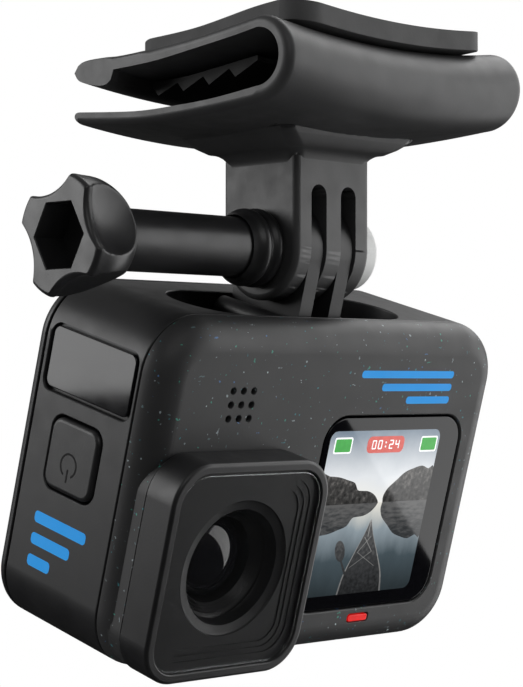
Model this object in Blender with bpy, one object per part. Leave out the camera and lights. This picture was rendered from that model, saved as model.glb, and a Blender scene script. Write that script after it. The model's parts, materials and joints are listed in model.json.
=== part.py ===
"""Action camera hanging upside down from a cap-brim clip, as an assembly of separate pieces.

Lengths are in millimetres until a mesh is finished, then they become metres.
Row frame: the origin is the middle of the clip's brim slot, +X runs from the thumb knob to the nut,
+Z is up and the lens looks towards -Y. Every piece is drawn in one of two frames with its origin on
the hinge pin: "clip", which is level, and "camera", which is tilted about the pin.
"""
from math import asin, cos, pi, radians, sin, tau

import bmesh
import bpy
from mathutils import Matrix, Vector

MM = 0.001
FIT = 0.3                 # gap between pieces that touch or slide
SIDES = 32                # facets around a round piece

# Clip and hinge
PIVOT_DROP = 19.5         # hinge pin below the middle of the brim slot
CAMERA_TILT = 15.4        # degrees about +X
CLIP_HALF = 25.0          # half of the clip's length along X
CLIP_BOW = 170.0          # radius of the clip's sideways bow, ends up
BEND_Y, BEND_Z = -16.6, 22.3
BEND_OUT = (6.1, 5.8)
BEND_IN = (4.1, 3.95)
PAD_HALF = 20.3
PAD_Y = (-20.2, 13.6)
PAD_THICK = 2.8
BARB_PITCH = 5.3
PRONG = 3.11              # prong thickness and slot pitch / 2
SLOT_HALF = 1.6
NECK_R = 7.5
NECK_BEVEL = 0.86
NECK_HALF = 2.5 * PRONG
BORE_R = 2.8

# Thumbscrew
KNOB_FACE_X = -45.4
KNOB_LOBE_R = 8.4
KNOB_DIP_R = 6.2
KNOB_TURN = 28.5          # degrees from up to the first lobe
BARREL_R = 4.3
HEX_CORNER_R = 5.04
SHAFT_R = 2.5
NUT_CORNER_R = 4.62

# Camera casing
BODY_W, BODY_H = 71.8, 50.8
BODY_X = 2.3              # middle of the casing along X
TOP_Z = -8.2              # face that carries the fingers
FRONT_Y, BACK_Y = -12.3, 15.2
CORNER_R = 8.5
FRONT_EDGE_R = 4.5
BACK_EDGE_R = 2.0
SHELL_Y = -7.95           # joint line between front shell and housing
REAR_Y = 12.85            # joint line between housing and rear cover
WALL = 1.5
LEFT_X = BODY_X - BODY_W / 2
RIGHT_X = BODY_X + BODY_W / 2
BASE_Z = TOP_Z - BODY_H
MID_Z = TOP_Z - BODY_H / 2

# Camera details
POCKET = (43.0, 14.8, 4.4)  # length, width, depth
FINGER_HALF = 1.3
FINGER_R = 7.1
FINGER_PIN_X, FINGER_PIN_Z = 6.2, -10.4
LENS_X, LENS_Z = -17.9, -42.3
COVER_W, COVER_H, COVER_R = 30.2, 31.6, 6.0
COVER_FRONT_Y = -18.3
GLASS_X = (0.9, 31.4)
GLASS_Z = (-52.2, -22.2)
LED_X, LED_Z = 16.1, -54.1
SPEAKER_Y = (-6.6, 11.3)
SPEAKER_Z = (-23.5, -14.7)
MODE_Y, MODE_Z = 2.6, -32.0
MODE_W, MODE_H = 10.4, 10.3
SHUTTER_X, SHUTTER_Y = 20.0, 1.5
DOOR_Y = (-6.4, 10.6)
DOOR_Z = (-54.2, -14.0)
DOOR_THICK = 2.0
DOOR_PIN = (35.6, -53.4)


# ---------------------------------------------------------------- outlines and meshes

def arc(cx, cy, rx, ry, start, end, count):
    """Points on an ellipse arc, angles in degrees."""
    step = (end - start) / count
    angles = [radians(start + step * i) for i in range(count + 1)]
    return [(cx + rx * cos(a), cy + ry * sin(a)) for a in angles]


def circle(radius, count=SIDES, cx=0.0, cy=0.0):
    return arc(cx, cy, radius, radius, 0, 360 - 360 / count, count - 1)


def rounded(width, height, radius, cx=0.0, cy=0.0, count=6):
    """Rectangle with round corners, anticlockwise."""
    x, y = width / 2 - radius, height / 2 - radius
    points = []
    for i, (sx, sy) in enumerate([(1, 1), (-1, 1), (-1, -1), (1, -1)]):
        points += arc(cx + sx * x, cy + sy * y, radius, radius, 90 * i, 90 * i + 90, count)
    return points


def smooth_line(points, steps):
    """Catmull-Rom curve through the points."""
    padded = [points[0]] + points + [points[-1]]
    out = []
    for a, b, c, d in zip(padded, padded[1:], padded[2:], padded[3:]):
        for i in range(steps):
            t = i / steps
            out.append(tuple(0.5 * (2 * q + (r - p) * t + (2 * p - 5 * q + 4 * r - s) * t * t
                                    + (3 * q - p - 3 * r + s) * t ** 3)
                             for p, q, r, s in zip(a, b, c, d)))
    return out + [points[-1]]


def loft(rings, closed=False, bm=None):
    """Skin a row of rings with equal counts; the end rings are capped unless the row is closed."""
    bm = bm or bmesh.new()
    rows = [[bm.verts.new(point) for point in ring] for ring in rings]
    pairs = list(zip(rows, rows[1:]))
    if closed:
        pairs.append((rows[-1], rows[0]))
    for one, two in pairs:
        for i in range(len(one)):
            j = (i + 1) % len(one)
            bm.faces.new((one[i], one[j], two[j], two[i]))
    if not closed:
        bm.faces.new(rows[0])
        bm.faces.new(rows[-1])
    return bm


def along(axis, outline, level):
    """Place a flat outline at a level of one axis: (y, z) on X, (x, z) on Y, (x, y) on Z."""
    if axis == "X":
        return [(level, a, b) for a, b in outline]
    if axis == "Y":
        return [(a, level, b) for a, b in outline]
    return [(a, b, level) for a, b in outline]


def prism(axis, outline, low, high, bm=None):
    return loft([along(axis, outline, low), along(axis, outline, high)], bm=bm)


def box(low, high, bm=None):
    (x0, y0, z0), (x1, y1, z1) = low, high
    return prism("Z", [(x0, y0), (x1, y0), (x1, y1), (x0, y1)], z0, z1, bm)


def turned(axis, profile, centre=(0.0, 0.0), count=SIDES, bm=None):
    """Turn a profile of (radius, level) about an axis; a profile that closes on itself is a ring."""
    ring_shape = profile[0] == profile[-1]
    levels = profile[:-1] if ring_shape else profile
    rings = [along(axis, circle(r, count, *centre), level) for r, level in levels]
    return loft(rings, closed=ring_shape, bm=bm)


def plate(axis, outline_of, low, high, edge, bm=None):
    """A plate whose outline shrinks by a quarter circle of radius edge towards its high side."""
    rise = edge if high > low else -edge
    rings = [along(axis, outline_of(0), low)]
    for i in range(5):
        a = radians(90 * i / 4)
        rings.append(along(axis, outline_of(edge * (1 - cos(a))), high - rise * (1 - sin(a))))
    return loft(rings, bm=bm)


# ---------------------------------------------------------------- scene helpers

def material(name, colour, roughness, metallic=0.0):
    mat = bpy.data.materials.new(name)
    mat.use_nodes = True
    shader = mat.node_tree.nodes["Principled BSDF"]
    shader.inputs["Base Color"].default_value = (*colour, 1.0)
    shader.inputs["Roughness"].default_value = roughness
    shader.inputs["Metallic"].default_value = metallic
    return mat


def empty(name, parent, place=(0, 0, 0), turn=(0, 0, 0)):
    obj = bpy.data.objects.new(name, None)
    bpy.context.collection.objects.link(obj)
    obj.location = Vector(place) * MM
    obj.rotation_euler = turn
    obj.parent = parent
    return obj


def add(name, bm, mat, parent, pivot=(0, 0, 0)):
    """Finish a mesh drawn about the hinge pin; pivot is where the object's own origin goes."""
    bmesh.ops.recalc_face_normals(bm, faces=bm.faces)
    bmesh.ops.transform(bm, verts=bm.verts, matrix=Matrix.Scale(MM, 4) @ Matrix.Translation(-Vector(pivot)))
    mesh = bpy.data.meshes.new(name)
    bm.to_mesh(mesh)
    bm.free()
    mesh.shade_smooth()
    mesh.set_sharp_from_angle(angle=radians(35))
    obj = bpy.data.objects.new(name, mesh)
    bpy.context.collection.objects.link(obj)
    obj.location = Vector(pivot) * MM
    obj.parent = parent
    if mat:
        mesh.materials.append(mat)
    return obj


def combine(target, bm, operation="DIFFERENCE"):
    """Boolean a second mesh into the target; the second mesh stays as a hidden guide."""
    tool = add(f"guide_{target.name}_{len(target.modifiers)}", bm, None, target.parent)
    tool.hide_render = True
    tool.display_type = "WIRE"
    boolean = target.modifiers.new(tool.name, "BOOLEAN")
    boolean.operation = operation
    boolean.solver = "EXACT"
    boolean.object = tool


# ---------------------------------------------------------------- clip

def clip_profile():
    """Side outline (y, z) of the U-shaped clip at its middle, closed bend forward, mouth back."""
    top = smooth_line([(20.2, 25.2), (18.0, 25.75), (9.0, 25.8), (-4.0, 26.6), (BEND_Y, 28.1)], 3)
    bend = arc(BEND_Y, BEND_Z, *BEND_OUT, 90, 270, 12)[1:]
    bottom = smooth_line([(BEND_Y, 16.5), (-9.0, 15.95), (0, 15.55), (8.0, 15.55), (20.2, 16.5)], 3)[1:]
    tip = [(20.95, 17.0), (20.8, 17.9)]
    inside = smooth_line([(20.0, 18.1), (8.0, 17.2), (0, 17.2), (-8.0, 17.5), (BEND_Y, 18.35)], 3)
    hollow = arc(BEND_Y, BEND_Z, *BEND_IN, 270, 90, 12)[1:]
    roof = smooth_line([(BEND_Y, 26.25), (-12.0, 25.6), (-4.0, 24.7), (4.0, 23.9), (12.4, 23.6)], 3)[1:]
    lip = [(13.2, 21.9), (14.2, 21.6), (16.4, 21.7), (19.6, 22.8), (21.0, 24.2)]
    return top + bend + bottom + tip + inside + hollow + roof + lip


def bow(x):
    return x * x / (2 * CLIP_BOW)


def clip_stations(half, count):
    return [half * (2 * i / count - 1) for i in range(count + 1)]


def make_clip(parent, plastic, rubber, pale):
    outline = clip_profile()
    rings = [[(x, y, z + bow(x)) for y, z in outline] for x in clip_stations(CLIP_HALF, 14)]
    body = add("clip_body", loft(rings), plastic, parent)

    # plinth under the clip and the flare of the neck
    steps = [(7.0, 6.6, 11.8), (7.9, 7.7, 13.0), (9.3, 9.0, 14.5), (14.0, 11.5, 16.4)]
    combine(body, loft([along("Z", rounded(2 * x, 2 * y, 1.6, count=3), z) for x, y, z in steps]), "UNION")

    def neck(inset):
        radius = NECK_R - inset
        return arc(0, 0, radius, radius, 180, 360, 16) + [(radius, 13.0), (-radius, 13.0)]

    sides = [(-NECK_HALF, NECK_BEVEL), (NECK_BEVEL - NECK_HALF, 0), (NECK_HALF - NECK_BEVEL, 0),
             (NECK_HALF, NECK_BEVEL)]
    combine(body, loft([along("X", neck(inset), x) for x, inset in sides]), "UNION")
    for x in (-PRONG, PRONG):
        slot = [(x - SLOT_HALF, -9), (x + SLOT_HALF, -9)] + arc(x, 7.5, SLOT_HALF, SLOT_HALF, 0, 180, 8)
        combine(body, prism("Y", slot, -9, 9))
    combine(body, turned("X", [(BORE_R, -9), (BORE_R, 9)], count=24))
    combine(body, prism("X", circle(NUT_CORNER_R + FIT, 6), 5.6, 9))

    # soft pad on the upper plate
    def pad(x):
        under = smooth_line([(PAD_Y[1], 25.95), (0, 26.6), (-12.0, 28.0), (PAD_Y[0], 28.45)], 4)
        over = [(y, z + PAD_THICK) for y, z in reversed(under)]
        over[0] = (over[0][0] + 0.2, over[0][1])
        return [(y, z + bow(x)) for y, z in under + over]

    add("top_pad", loft([along("X", pad(x), x) for x in clip_stations(PAD_HALF, 10)]), rubber, parent)

    # barbed grip strip under the upper plate
    def strip_top(y):
        return 23.45 + (0.105 * (4 - y) if y < 4 else 0.03 * (4 - y))

    strip = [(-9.8, strip_top(-9.8)), (-4.0, strip_top(-4)), (4.0, strip_top(4)), (11.7, strip_top(11.7))]
    for tooth in range(4):
        root = 11.7 - BARB_PITCH * tooth
        strip += [(root, strip_top(root) - 0.7), (root - 1.2, strip_top(root) - 2.0)]
    strip.append((-9.8, strip_top(-9.8) - 0.7))
    rings = [[(x, y, z + bow(x)) for y, z in strip] for x in clip_stations(18.0, 8)]
    add("grip_teeth", loft(rings), rubber, parent)

    # nut caught in the far prong, with its rounded cap
    nut = prism("X", circle(NUT_CORNER_R, 6), 5.9, 8.4)
    nut_obj = add("captive_nut", nut, pale, parent)
    cap = [(5.5, 7.95), (5.5, 11.3), (5.3, 11.9), (4.7, 12.3), (3.4, 12.5)]
    combine(nut_obj, turned("X", cap, count=32), "UNION")
    combine(nut_obj, turned("X", [(BORE_R, 5.0), (BORE_R, 9.7)], count=24))


# ---------------------------------------------------------------- thumbscrew

def knob_ring(x, scale, roundness, base):
    """Four-lobed ring; roundness 1 gives a plain circle of radius base."""
    points = []
    for i in range(64):
        a = tau * i / 64
        off = abs((a + pi / 4 - radians(KNOB_TURN)) % (pi / 2) - pi / 4)
        dip = min(max((off - radians(14)) / radians(31), 0), 1)
        lobe = KNOB_DIP_R + (KNOB_LOBE_R - KNOB_DIP_R) * (0.5 + 0.5 * cos(pi * dip))
        radius = scale * lobe * (1 - roundness) + base * roundness
        points.append((x, -radius * sin(a), radius * cos(a)))
    return points


def make_thumbscrew(parent, plastic, steel):
    face = KNOB_FACE_X
    steps = [(face, 0.91, 0), (face + 0.3, 0.96, 0), (face + 1.0, 1, 0), (face + 5.4, 1, 0),
             (face + 6.8, 0.96, 0.05), (face + 7.9, 0.88, 0.2), (face + 8.7, 0.8, 0.5)]
    rings = [knob_ring(x, scale, roundness, BARREL_R) for x, scale, roundness in steps]
    barrel = [(face + 9.3, 4.7), (face + 10.4, BARREL_R), (-8.4, BARREL_R)]
    rings += [knob_ring(x, 1, 1, radius) for x, radius in barrel]
    knob = add("thumb_knob", loft(rings), plastic, parent)
    combine(knob, prism("X", circle(HEX_CORNER_R, 6), face - 1, face + 5))
    combine(knob, turned("X", [(BORE_R, face + 7.5), (BORE_R, 0)], count=24))
    shaft = [(SHAFT_R - 0.4, face + 7.9), (SHAFT_R, face + 8.3), (SHAFT_R, 8.3), (SHAFT_R - 0.5, 8.8)]
    add("screw_shaft", turned("X", shaft, count=24), steel, parent)
    bore = BARREL_R + FIT
    collar = [(bore, -8.1), (5.4, -8.1), (5.7, -8.4), (5.7, -9.5), (5.4, -9.9), (5.1, -10.1), (5.3, -10.5),
              (5.3, -12.1), (5.0, -12.7), (bore, -13.0), (bore, -8.1)]
    add("screw_collar", turned("X", collar), plastic, parent)


# ---------------------------------------------------------------- camera casing

def casing(inset):
    """Front outline (x, z) of the casing, pulled in by inset."""
    return rounded(BODY_W - 2 * inset, BODY_H - 2 * inset, CORNER_R - inset, BODY_X, MID_Z)


def make_front_shell(parent, skin):
    low, high = FRONT_Y, SHELL_Y - FIT / 2
    start = asin((FRONT_Y + FRONT_EDGE_R - high) / FRONT_EDGE_R)
    levels = []
    for i in range(7):
        a = pi / 2 + (start - pi / 2) * i / 6
        levels.append((FRONT_Y + FRONT_EDGE_R * (1 - sin(a)), FRONT_EDGE_R * (1 - cos(a))))
    rings = [along("Y", casing(inset), y) for y, inset in levels]
    rings += [along("Y", casing(WALL + 0.2), high), along("Y", casing(FRONT_EDGE_R), low + WALL)]
    shell = add("front_shell", loft(rings), skin, parent)
    plinth = rounded(COVER_W - 0.6, COVER_H - 0.6, COVER_R, LENS_X, LENS_Z)
    combine(shell, prism("Y", plinth, low + 0.02, high), "UNION")
    combine(shell, turned("Y", [(10.2, -14), (10.2, -6)], (LENS_X, LENS_Z)))
    width, height = GLASS_X[1] - GLASS_X[0], GLASS_Z[1] - GLASS_Z[0]
    middle = (sum(GLASS_X) / 2, sum(GLASS_Z) / 2)
    combine(shell, prism("Y", rounded(width + 2 * FIT, height + 2 * FIT, 4.3, *middle), -14, -9.6))
    holes = bmesh.new()
    for i in (-1, 0, 1):
        for j in (-1, 0, 1):
            turned("Y", [(0.5, -14), (0.5, -9.6)], (LENS_X + 2 * i, -20.0 + 2 * j), 10, holes)
    combine(shell, holes)
    combine(shell, prism("Y", rounded(4.6, 1.4, 0.4, LED_X, LED_Z, 3), -14, -9.6))


def make_housing(parent, plastic):
    low, high = SHELL_Y + FIT / 2, REAR_Y - FIT / 2
    outer = [(low, 0), (high, 0), (high, WALL), (low, WALL)]
    rings = [along("Y", casing(inset), y) for y, inset in outer]
    housing = add("main_housing", loft(rings, closed=True), plastic, parent)

    # pocket for the fingers, in a thicker block of wall
    length, width, depth = POCKET
    block = box((-length / 2 - 1.6, low + 0.02, TOP_Z - depth - 1.3), (length / 2 + 1.6, 9.6, TOP_Z - 0.6))
    combine(housing, block, "UNION")
    combine(housing, prism("Z", rounded(length, width, width / 2 - 0.02, count=8), TOP_Z - depth, 0))

    # speaker recess, mode button and shutter button openings
    speaker = rounded(SPEAKER_Y[1] - SPEAKER_Y[0] + 1.8, SPEAKER_Z[1] - SPEAKER_Z[0] + 1.8, 1.6,
                      sum(SPEAKER_Y) / 2, sum(SPEAKER_Z) / 2, 4)
    combine(housing, prism("X", speaker, LEFT_X - 2, LEFT_X + 0.9))
    combine(housing, box((LEFT_X, -4.0, SPEAKER_Z[0] + 1.5), (LEFT_X + 4, 8.0, SPEAKER_Z[1] - 1.5)))
    mode = rounded(MODE_W + 2 * FIT, MODE_H + 2 * FIT, 2.3, MODE_Y, MODE_Z, 4)
    combine(housing, prism("X", mode, LEFT_X - 2, LEFT_X + 4))
    shutter = rounded(14 + 2 * FIT, 9 + 2 * FIT, 4.5 + FIT, SHUTTER_X, SHUTTER_Y, 6)
    combine(housing, prism("Z", shutter, BASE_Z - 2, BASE_Z + 4))

    # battery door opening, with room for the hinge
    combine(housing, box((RIGHT_X - 6, DOOR_Y[0] - FIT, DOOR_Z[0]), (RIGHT_X + 2, DOOR_Y[1] + FIT,
                                                                   DOOR_Z[1] + FIT)))
    combine(housing, turned("Y", [(2.6, DOOR_Y[0] - FIT), (2.6, DOOR_Y[1] + FIT)], DOOR_PIN, 20))
    combine(housing, turned("Y", [(0.95, DOOR_Y[0] - 1.1), (0.95, DOOR_Y[1] + 1.1)], DOOR_PIN, 12))


def make_rear(parent, plastic, glass, dark):
    low, high = REAR_Y + FIT / 2, BACK_Y
    cover = add("rear_cover", plate("Y", casing, low, high, BACK_EDGE_R), plastic, parent)
    combine(cover, prism("Y", rounded(57.6, 39.6, 4.3, BODY_X, MID_Z), high - 1.3, high + 1))
    combine(cover, prism("Y", rounded(50, 33, 3, BODY_X, MID_Z), low - 1, high))

    def screen(inset):
        return rounded(57 - 2 * inset, 39 - 2 * inset, 4 - inset, BODY_X, MID_Z)

    add("rear_touchscreen", plate("Y", screen, high - 1.0, high, 0.3), glass, parent)
    panel = rounded(46.8, 30.8, 0.5, BODY_X, MID_Z, 2)
    add("rear_display", prism("Y", panel, low - 0.6, high - 1.3), dark, parent)


def make_front_display(parent, glass, dark, red):
    width, height = GLASS_X[1] - GLASS_X[0], GLASS_Z[1] - GLASS_Z[0]
    x, z = sum(GLASS_X) / 2, sum(GLASS_Z) / 2

    def window(inset):
        return rounded(width - 2 * inset, height - 2 * inset, 4 - inset, x, z)

    add("front_display_glass", plate("Y", window, FRONT_Y + 1.1, FRONT_Y, 0.2), glass, parent)
    add("front_display", prism("Y", rounded(28, 27, 1.0, x, z, 3), FRONT_Y + 1.4, FRONT_Y + 4), dark, parent)
    add("status_led", prism("Y", rounded(4.0, 0.8, 0.3, LED_X, LED_Z, 3), FRONT_Y - 0.05, FRONT_Y + 2.0),
        red, parent)


# ---------------------------------------------------------------- lens and its cover

def make_lens(parent, dark, glass, board, gold):
    x, z = LENS_X, LENS_Z
    centre = (x, z)
    barrel = [(9.8, -4.6), (9.8, -13.9), (9.3, -14.5), (8.0, -14.5), (7.2, -13.2), (6.3, -13.2),
              (6.3, -8.9), (4.2, -8.9), (4.2, -4.6), (9.8, -4.6)]
    add("lens_barrel", turned("Y", barrel, centre), dark, parent)
    dome = [(6.0 * cos(radians(a)), -11.2 - 2.4 * sin(radians(a))) for a in range(0, 90, 15)]
    add("front_element", turned("Y", [(6.0, -9.2)] + dome + [(0.6, -13.6)], centre), glass, parent)
    add("rear_lens_group", turned("Y", [(3.8, -8.6), (3.8, -5.4), (3.2, -4.8)], centre, 24), glass, parent)
    holder = add("lens_holder", prism("Y", rounded(22, 22, 2, x, z, 3), -4.3, -3.3), dark, parent)
    combine(holder, prism("Y", rounded(9.6, 8.6, 0.8, x, z, 3), -6, -2))
    add("image_sensor", box((x - 4.5, -3.9, z - 4), (x + 4.5, -2.9, z + 4)), gold, parent)
    add("sensor_board", prism("Y", rounded(20, 18, 1.5, x, z, 3), -2.5, -1.5), board, parent)


def make_lens_cover(parent, plastic, glass):
    def frame(inset):
        return rounded(COVER_W - 2 * inset, COVER_H - 2 * inset, COVER_R - inset, LENS_X, LENS_Z)

    def pane(inset):
        return rounded(28.0 - 2 * inset, 28.0 - 2 * inset, 4.0 - inset, LENS_X, LENS_Z)

    pivot = (LENS_X, FRONT_Y, LENS_Z)
    block = plate("Y", frame, FRONT_Y - FIT, COVER_FRONT_Y, 0.6)
    rim = add("lens_cover_frame", block, plastic, parent, pivot)
    combine(rim, prism("Y", pane(-FIT), COVER_FRONT_Y + 1.9, COVER_FRONT_Y - 2))
    combine(rim, turned("Y", [(10.4, -10), (10.4, -18)], (LENS_X, LENS_Z)))
    cover = plate("Y", pane, COVER_FRONT_Y + 1.6, COVER_FRONT_Y + 0.1, 0.2)
    add("lens_cover_glass", cover, glass, parent, pivot)


# ---------------------------------------------------------------- buttons, side cover and door

def make_side_controls(parent, plastic, gloss, dark):
    y, z = sum(SPEAKER_Y) / 2, sum(SPEAKER_Z) / 2
    width, height = SPEAKER_Y[1] - SPEAKER_Y[0], SPEAKER_Z[1] - SPEAKER_Z[0]

    def panel(inset):
        return rounded(width - 2 * inset, height - 2 * inset, 1.2 - inset, y, z, 4)

    add("speaker_cover", plate("X", panel, LEFT_X + 0.6, LEFT_X + 0.1, 0.2), gloss, parent)
    add("speaker", box((LEFT_X + 1.9, -3.5, z - 3.6), (LEFT_X + 5.4, 7.5, z + 3.6)), dark, parent)

    def mode(inset):
        return rounded(MODE_W - 2 * inset, MODE_H - 2 * inset, 2.0 - inset, MODE_Y, MODE_Z, 4)

    pivot = (LEFT_X, MODE_Y, MODE_Z)
    add("mode_button", plate("X", mode, LEFT_X + 1.7, LEFT_X - 0.4, 0.5), plastic, parent, pivot)
    add("mode_switch", box((LEFT_X + 2.6, MODE_Y - 2, MODE_Z - 2), (LEFT_X + 4.2, MODE_Y + 2, MODE_Z + 2)),
        dark, parent)

    def shutter(inset):
        return rounded(14 - 2 * inset, 9 - 2 * inset, 4.5 - inset, SHUTTER_X, SHUTTER_Y)

    pivot = (SHUTTER_X, SHUTTER_Y, BASE_Z)
    add("shutter_button", plate("Z", shutter, BASE_Z + 1.7, BASE_Z - 0.5, 0.5), plastic, parent, pivot)
    add("shutter_switch", box((SHUTTER_X - 2, SHUTTER_Y - 2, BASE_Z + 2.7), (SHUTTER_X + 2, SHUTTER_Y + 2,
                                                                           BASE_Z + 4.2)), dark, parent)


def make_door(parent, plastic, steel, rubber):
    y0, y1 = DOOR_Y
    x, z = DOOR_PIN
    pivot = (x, 0, z)
    door = add("battery_door", prism("Y", casing(0.0), y0, y1), plastic, parent, pivot)
    combine(door, prism("Y", casing(DOOR_THICK), y0 - 1, y1 + 1))
    combine(door, box((RIGHT_X - 4.5, y0 - 1, z), (RIGHT_X + 2, y1 + 1, DOOR_Z[1])), "INTERSECT")
    combine(door, turned("Y", [(1.6, y0), (1.6, y1)], DOOR_PIN, 20), "UNION")
    combine(door, turned("Y", [(0.95, y0 - 1), (0.95, y1 + 1)], DOOR_PIN, 12))
    latch_z = DOOR_Z[1] - 9.0
    combine(door, box((RIGHT_X - 1.1, -2.5, latch_z - 3.5), (RIGHT_X + 1, 6.5, latch_z + 5.5)))
    add("door_hinge_pin", turned("Y", [(0.6, y0 - 0.9), (0.6, y1 + 0.9)], DOOR_PIN, 12), steel, parent)

    def latch(inset):
        return rounded(8.4 - 2 * inset, 6.4 - 2 * inset, 1.0 - inset, 2.0, latch_z, 3)

    slider = plate("X", latch, RIGHT_X - 0.8, RIGHT_X + 0.1, 0.2)
    add("door_latch", slider, plastic, parent, (RIGHT_X, 2.0, latch_z))
    seal_out = rounded(14.6, 33, 2.5, 2.1, -34.0, 3)
    seal_in = rounded(12.6, 31, 1.5, 2.1, -34.0, 3)
    edge = RIGHT_X - DOOR_THICK - FIT
    rings = [along("X", seal_out, edge), along("X", seal_out, edge - 0.9),
             along("X", seal_in, edge - 0.9), along("X", seal_in, edge)]
    add("door_seal", loft(rings, closed=True), rubber, parent, pivot)


# ---------------------------------------------------------------- fingers and inner parts

def make_fingers(parent, plastic, steel):
    """Each finger is a plate with a foot and a knuckle, so that it can fold outwards into the pocket."""
    foot = TOP_Z - POCKET[2] + FIT
    for name, side in (("left", -1), ("right", 1)):
        x, pin_x = side * PRONG, side * FINGER_PIN_X
        outline = arc(0, 0, FINGER_R, FINGER_R, 0, 180, 20) + [(-FINGER_R, foot), (FINGER_R, foot)]
        blade = prism("X", outline, x - FINGER_HALF, x + FINGER_HALF)
        finger = add(f"mount_finger_{name}", blade, plastic, parent)
        low, high = sorted((x, pin_x))
        combine(finger, box((low, -6.9, foot + 0.1), (high, 6.9, foot + 2.4)), "UNION")
        combine(finger, turned("Y", [(1.8, -6.8), (1.8, 6.8)], (pin_x, FINGER_PIN_Z), 20), "UNION")
        combine(finger, turned("X", [(BORE_R, x - 3), (BORE_R, x + 3)], count=24))
        combine(finger, turned("Y", [(0.95, -9), (0.95, 9)], (pin_x, FINGER_PIN_Z), 12))
        pin = turned("Y", [(0.6, -7.2), (0.6, 7.2)], (pin_x, FINGER_PIN_Z), 12)
        add(f"finger_pin_{name}", pin, steel, parent)


def make_inside(parent, dark, board, steel, label):
    add("battery", prism("X", rounded(12.6, 32.6, 1.5, 4.4, -31.0, 3), 0.6, 34.4), label, parent)
    card = [(22, -4), (34, -4), (34, 7), (19, 7), (19, -1.6)]
    add("memory_card", prism("Z", card, -50.2, -49.2), dark, parent)
    port = rounded(9.0, 3.2, 1.5, 2.4, -52.9, 4)
    hollow = rounded(8.2, 2.4, 1.1, 2.4, -52.9, 4)
    walls = [(25, port), (33.4, port), (33.4, hollow), (26, hollow)]
    add("usb_port", loft([along("X", outline, x) for x, outline in walls]), steel, parent)
    add("main_board", box((-28.4, 2.6, -55.8), (-0.6, 3.6, -25.2)), board, parent)
    sink = box((-27.4, 4.2, -55.4), (-1.6, 5.4, -26.0))
    heat = add("heat_sink", sink, steel, parent)
    fins = bmesh.new()
    for i in range(6):
        x = -26.4 + 4.6 * i
        box((x, 5.2, -54.6), (x + 1.2, 9.0, -27.0), fins)
    combine(heat, fins, "UNION")
    add("front_microphone", box((LENS_X - 3.5, -10.2, -23.5), (LENS_X + 3.5, -8.9, -16.5)), dark, parent)
    places = [(-28.8, -13.2), (31.4, -12.6), (-28.8, -54.0), (31.4, -55.0)]
    for number, place in enumerate(places, 1):
        screw = turned("Y", [(0.8, 8.4), (0.8, 10.8), (1.4, 10.8), (1.4, 12.4)], place, 12)
        add(f"housing_screw_{number}", screw, steel, parent)


def main():
    for obj in list(bpy.data.objects):
        bpy.data.objects.remove(obj, do_unlink=True)

    clip_plastic = material("clip_plastic", (0.035, 0.035, 0.037), 0.5)
    rubber = material("soft_rubber", (0.045, 0.045, 0.046), 0.75)
    pale = material("nut_cap", (0.75, 0.76, 0.76), 0.35)
    steel = material("steel", (0.55, 0.55, 0.56), 0.3, 1.0)
    skin = material("speckled_skin", (0.05, 0.052, 0.054), 0.6)
    plastic = material("casing_plastic", (0.03, 0.031, 0.032), 0.45)
    gloss = material("gloss_panel", (0.012, 0.012, 0.013), 0.12)
    glass = material("dark_glass", (0.01, 0.012, 0.015), 0.05)
    dark = material("inner_black", (0.02, 0.02, 0.022), 0.4)
    board = material("circuit_board", (0.02, 0.09, 0.05), 0.45)
    gold = material("sensor", (0.25, 0.18, 0.3), 0.2)
    label = material("battery_wrap", (0.04, 0.16, 0.34), 0.4)
    red = material("red_light", (0.8, 0.03, 0.02), 0.25)

    pivot = (0, 0, -PIVOT_DROP)
    clip = empty("clip_frame", None, pivot)
    camera = empty("camera_frame", None, pivot, (radians(CAMERA_TILT), 0, 0))
    make_clip(clip, clip_plastic, rubber, pale)
    make_thumbscrew(clip, clip_plastic, steel)
    make_front_shell(camera, skin)
    make_housing(camera, plastic)
    make_rear(camera, plastic, glass, dark)
    make_front_display(camera, glass, dark, red)
    make_lens(camera, dark, glass, board, gold)
    make_lens_cover(camera, plastic, glass)
    make_side_controls(camera, plastic, gloss, dark)
    make_door(camera, plastic, steel, rubber)
    make_fingers(camera, plastic, steel)
    make_inside(camera, dark, board, steel, label)


main()
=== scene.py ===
"""Looks for the action camera on its cap-brim clip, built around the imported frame.

Lengths are in millimetres until a mesh is finished, then they become metres. Shapes are drawn about the
hinge pin in one of two frames, as in the CAD: CLIP, which is level, and CAMERA, tilted about the pin.
"""
import json
from math import asin, atan2, cos, pi, radians, sin, sqrt, tau

import bmesh
import bpy
from mathutils import Matrix, Vector


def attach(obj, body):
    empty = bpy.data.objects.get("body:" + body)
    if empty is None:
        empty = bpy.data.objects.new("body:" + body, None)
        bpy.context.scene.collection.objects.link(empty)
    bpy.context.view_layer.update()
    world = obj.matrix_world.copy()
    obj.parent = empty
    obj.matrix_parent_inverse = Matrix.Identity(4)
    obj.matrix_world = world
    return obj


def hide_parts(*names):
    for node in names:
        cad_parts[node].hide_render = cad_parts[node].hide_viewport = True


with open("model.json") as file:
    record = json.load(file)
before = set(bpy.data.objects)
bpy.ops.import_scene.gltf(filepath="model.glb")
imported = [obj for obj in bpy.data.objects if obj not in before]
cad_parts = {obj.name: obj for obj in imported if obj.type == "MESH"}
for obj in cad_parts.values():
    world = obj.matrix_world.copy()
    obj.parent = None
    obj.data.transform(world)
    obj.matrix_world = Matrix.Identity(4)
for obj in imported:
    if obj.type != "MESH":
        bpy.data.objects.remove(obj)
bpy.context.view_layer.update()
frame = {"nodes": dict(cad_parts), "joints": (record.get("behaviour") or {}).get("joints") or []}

MM = 0.001
FIT = 0.3                 # gap between pieces that touch or slide
NODES = frame["nodes"]
JOINTS = {joint["name"]: joint for joint in frame["joints"]}
VIEWER = Vector((-0.2218, -0.21261, -0.03888))    # in metres, as are the lights' places
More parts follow.
